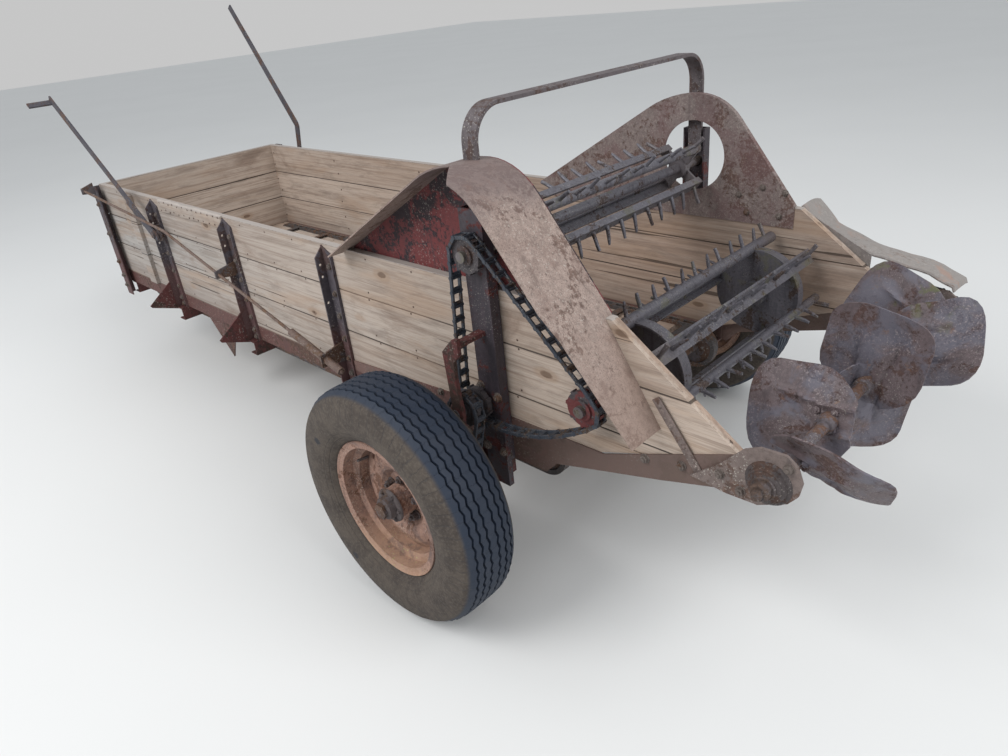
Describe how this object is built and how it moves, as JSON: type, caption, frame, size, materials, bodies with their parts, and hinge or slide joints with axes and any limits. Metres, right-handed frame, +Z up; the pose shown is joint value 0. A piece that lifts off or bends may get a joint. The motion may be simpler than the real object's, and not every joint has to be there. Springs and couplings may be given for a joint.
{
  "type": "manure spreader",
  "caption": "Two-wheeled towed manure spreader with a wooden load box, floor apron, toothed beaters, paddle distributor, chain drive and hand levers.",
  "frame": {"origin": "centre of the bounding box in plan, on the ground the machine stands on", "axes": "+X forward to the hitch, +Y to the machine's left, +Z up"},
  "size_m": [5.1922, 1.82, 1.6499],
  "materials": {
    "wood": "weathered",
    "tyre": "dusty",
    "rim_paint": "rusted",
    "red_paint": "worn",
    "rusted_sheet": "rusted",
    "cast_parts": "rough",
    "bare_steel": "rusted"
  },
  "bodies": {
    "frame": {"side_boards_left": "wood", "side_boards_right": "wood", "front_boards": "wood", "floor_boards": "wood", "sill_left": "red_paint", "sill_right": "red_paint", "cross_members": "bare_steel", "floor_bearers": "wood", "stakes_left": "bare_steel", "stakes_right": "bare_steel", "drawbar": "red_paint", "hitch_clevis": "cast_parts", "axle": "bare_steel", "axle_bracket_left": "red_paint", "axle_bracket_right": "red_paint", "post_left": "red_paint", "post_right": "red_paint", "arch_plate_left": "rusted_sheet", "arch_plate_right": "rusted_sheet", "chain_guard_left": "rusted_sheet", "distributor_guard": "rusted_sheet", "arch_bar": "bare_steel", "bearing_plate_left": "rusted_sheet", "bearing_plate_right": "rusted_sheet", "beater_bearings": "cast_parts", "sprockets": "cast_parts", "beater_chain": "bare_steel", "drive_chain": "bare_steel", "distributor_chain": "bare_steel", "apron_upper": "bare_steel", "apron_lower": "bare_steel", "apron_shafts": "bare_steel", "lever_brackets": "bare_steel", "control_rod": "bare_steel", "chain_bracket": "red_paint"},
    "wheel_left": {"tyre_left": "tyre", "rim_left": "rim_paint"},
    "wheel_right": {"tyre_right": "tyre", "rim_right": "rim_paint"},
    "upper_beater_rotor": {"upper_beater": "bare_steel"},
    "main_beater_rotor": {"main_beater": "bare_steel"},
    "distributor_rotor": {"distributor": "rusted_sheet"},
    "left_lever": {"lever_left": "bare_steel"},
    "right_lever": {"lever_right": "bare_steel"},
    "parking_stand": {"parking_leg": "bare_steel"}
  },
  "joints": [
    {"name": "wheel_left_spin", "type": "hinge", "parent": "frame", "child": "wheel_left", "pos_m": [-1.478, 0.81, 0.362], "axis": [0, 1, 0], "continuous": true},
    {"name": "wheel_right_spin", "type": "hinge", "parent": "frame", "child": "wheel_right", "pos_m": [-1.478, -0.81, 0.362], "axis": [0, 1, 0], "continuous": true},
    {"name": "upper_beater_spin", "type": "hinge", "parent": "frame", "child": "upper_beater_rotor", "pos_m": [-1.588, 0, 1.014], "axis": [0, 1, 0], "continuous": true},
    {"name": "main_beater_spin", "type": "hinge", "parent": "frame", "child": "main_beater_rotor", "pos_m": [-1.943, 0, 0.687], "axis": [0, 1, 0], "continuous": true},
    {"name": "distributor_spin", "type": "hinge", "parent": "frame", "child": "distributor_rotor", "pos_m": [-2.388, 0, 0.634], "axis": [0, 1, 0], "continuous": true},
    {"name": "left_lever_swing", "type": "hinge", "parent": "frame", "child": "left_lever", "pos_m": [0.507, 0.556, 0.762], "axis": [0, -1, 0], "range_deg": [0, 42]},
    {"name": "right_lever_swing", "type": "hinge", "parent": "frame", "child": "right_lever", "pos_m": [1.042, -0.556, 0.782], "axis": [0, -1, 0], "range_deg": [-12, 30]},
    {"name": "parking_stand_fold", "type": "hinge", "parent": "frame", "child": "parking_stand", "pos_m": [2.072, 0, 0.357], "axis": [0, 1, 0], "range_deg": [0, 90]}
  ]
}
